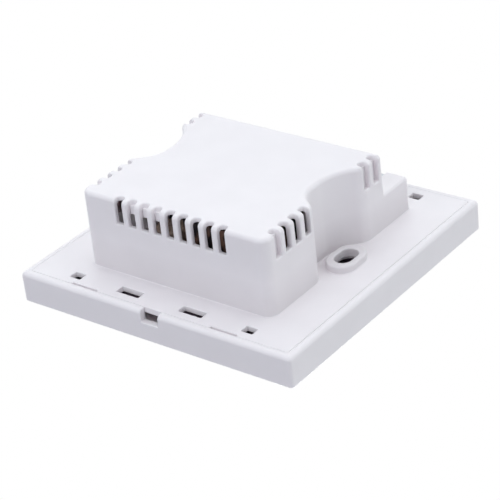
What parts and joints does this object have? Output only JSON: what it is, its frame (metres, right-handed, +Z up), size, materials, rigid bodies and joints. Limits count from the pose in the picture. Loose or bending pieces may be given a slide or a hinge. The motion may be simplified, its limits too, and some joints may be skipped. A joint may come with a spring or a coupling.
{
  "type": "wall thermostat",
  "caption": "Square wall thermostat with a clip-on display cover, push buttons and a vented rear box with screw terminals that sinks into the wall box.",
  "frame": {"origin": "centre of the rear plate's back surface, midway between the two wall-screw slots, where the plate meets the wall", "axes": "+X to the right as seen from the front, +Y into the wall, +Z up as installed"},
  "size_m": [0.086, 0.0305, 0.086],
  "materials": {
    "housing": "fine satin moulding",
    "cover": "fine satin moulding",
    "power_board": "solder mask",
    "display_board": "solder mask",
    "steel": "zinc plated",
    "transformer": "potted block",
    "relay": "moulded case",
    "capacitor_sleeve": "shrink sleeve",
    "film_capacitor": "dipped box",
    "varistor": "epoxy dipped",
    "fuse": "moulded case",
    "chip": "moulded epoxy",
    "resistor": "lacquered ceramic",
    "connector": "moulded",
    "terminal_plastic": "moulded",
    "brass": "plated",
    "cage": "nickel plated",
    "lens": "clear acrylic",
    "lcd": "polished",
    "light_guide": "diffusing",
    "holder": "moulded",
    "elastomer": "silicone",
    "led": "clear resin",
    "can": "metal can",
    "sensor": "epoxy bead",
    "switch": "moulded",
    "plunger": "moulded",
    "button": "satin"
  },
  "bodies": {
    "rear": {"rear_housing": "housing", "power_board": "power_board", "power_board_screws": "steel", "transformer": "transformer", "low_fan_relay": "relay", "medium_fan_relay": "relay", "high_fan_relay": "relay", "valve_relay": "relay", "smoothing_capacitors": "capacitor_sleeve", "filter_capacitor": "film_capacitor", "varistor": "varistor", "fuse": "fuse", "bridge_rectifier": "chip", "voltage_regulator": "chip", "resistors": "resistor", "header_socket": "connector", "terminal_block": "terminal_plastic", "terminal_contacts": "brass"},
    "front": {"front_cover": "cover", "display_window": "lens", "lcd_glass": "lcd", "light_guide": "light_guide", "lcd_holder": "holder", "elastomer_strips": "elastomer", "backlight_leds": "led", "display_board": "display_board", "display_board_screws": "steel", "controller_chip": "chip", "clock_crystal": "can", "temperature_sensor": "sensor", "header_pins": "brass", "switch_bodies": "switch"},
    "power_key": {"power_button": "button", "power_plunger": "plunger"},
    "mode_key": {"mode_button": "button", "mode_plunger": "plunger"},
    "fan_key": {"fan_button": "button", "fan_plunger": "plunger"},
    "down_key": {"down_button": "button", "down_plunger": "plunger"},
    "up_key": {"up_button": "button", "up_plunger": "plunger"},
    "screw_1": {"terminal_screw_1": "steel"},
    "cage_1": {"terminal_cage_1": "cage"},
    "screw_2": {"terminal_screw_2": "steel"},
    "cage_2": {"terminal_cage_2": "cage"},
    "screw_3": {"terminal_screw_3": "steel"},
    "cage_3": {"terminal_cage_3": "cage"},
    "screw_4": {"terminal_screw_4": "steel"},
    "cage_4": {"terminal_cage_4": "cage"},
    "screw_5": {"terminal_screw_5": "steel"},
    "cage_5": {"terminal_cage_5": "cage"},
    "screw_6": {"terminal_screw_6": "steel"},
    "cage_6": {"terminal_cage_6": "cage"}
  },
  "joints": [
    {"name": "cover_release", "type": "slide", "parent": "rear", "child": "front", "axis": [0, -1, 0], "range_m": [0, 0.025]},
    {"name": "power_press", "type": "slide", "parent": "front", "child": "power_key", "axis": [0, 1, 0], "range_m": [0, 0.0003], "stiffness_N_per_m": 1000, "springref_m": -0.0005},
    {"name": "mode_press", "type": "slide", "parent": "front", "child": "mode_key", "axis": [0, 1, 0], "range_m": [0, 0.0003], "stiffness_N_per_m": 1000, "springref_m": -0.0005},
    {"name": "fan_press", "type": "slide", "parent": "front", "child": "fan_key", "axis": [0, 1, 0], "range_m": [0, 0.0003], "stiffness_N_per_m": 1000, "springref_m": -0.0005},
    {"name": "down_press", "type": "slide", "parent": "front", "child": "down_key", "axis": [0, 1, 0], "range_m": [0, 0.0003], "stiffness_N_per_m": 1000, "springref_m": -0.0005},
    {"name": "up_press", "type": "slide", "parent": "front", "child": "up_key", "axis": [0, 1, 0], "range_m": [0, 0.0003], "stiffness_N_per_m": 1000, "springref_m": -0.0005},
    {"name": "terminal_1_turn", "type": "hinge", "parent": "rear", "child": "screw_1", "pos_m": [-0.01905, 0.0075, 0.0249], "axis": [0, -1, 0], "range_deg": [0, 1080]},
    {"name": "cage_1_rise", "type": "slide", "parent": "rear", "child": "cage_1", "axis": [0, 1, 0], "range_m": [0, 0.0015]},
    {"name": "terminal_2_turn", "type": "hinge", "parent": "rear", "child": "screw_2", "pos_m": [-0.01143, 0.0075, 0.0249], "axis": [0, -1, 0], "range_deg": [0, 1080]},
    {"name": "cage_2_rise", "type": "slide", "parent": "rear", "child": "cage_2", "axis": [0, 1, 0], "range_m": [0, 0.0015]},
    {"name": "terminal_3_turn", "type": "hinge", "parent": "rear", "child": "screw_3", "pos_m": [-0.00381, 0.0075, 0.0249], "axis": [0, -1, 0], "range_deg": [0, 1080]},
    {"name": "cage_3_rise", "type": "slide", "parent": "rear", "child": "cage_3", "axis": [0, 1, 0], "range_m": [0, 0.0015]},
    {"name": "terminal_4_turn", "type": "hinge", "parent": "rear", "child": "screw_4", "pos_m": [0.00381, 0.0075, 0.0249], "axis": [0, -1, 0], "range_deg": [0, 1080]},
    {"name": "cage_4_rise", "type": "slide", "parent": "rear", "child": "cage_4", "axis": [0, 1, 0], "range_m": [0, 0.0015]},
    {"name": "terminal_5_turn", "type": "hinge", "parent": "rear", "child": "screw_5", "pos_m": [0.01143, 0.0075, 0.0249], "axis": [0, -1, 0], "range_deg": [0, 1080]},
    {"name": "cage_5_rise", "type": "slide", "parent": "rear", "child": "cage_5", "axis": [0, 1, 0], "range_m": [0, 0.0015]},
    {"name": "terminal_6_turn", "type": "hinge", "parent": "rear", "child": "screw_6", "pos_m": [0.01905, 0.0075, 0.0249], "axis": [0, -1, 0], "range_deg": [0, 1080]},
    {"name": "cage_6_rise", "type": "slide", "parent": "rear", "child": "cage_6", "axis": [0, 1, 0], "range_m": [0, 0.0015]}
  ],
  "couplings": [
    {"joint": "terminal_1_turn", "follows": "cage_1_rise", "rad_per_m": 12566},
    {"joint": "terminal_2_turn", "follows": "cage_2_rise", "rad_per_m": 12566},
    {"joint": "terminal_3_turn", "follows": "cage_3_rise", "rad_per_m": 12566},
    {"joint": "terminal_4_turn", "follows": "cage_4_rise", "rad_per_m": 12566},
    {"joint": "terminal_5_turn", "follows": "cage_5_rise", "rad_per_m": 12566},
    {"joint": "terminal_6_turn", "follows": "cage_6_rise", "rad_per_m": 12566}
  ]
}
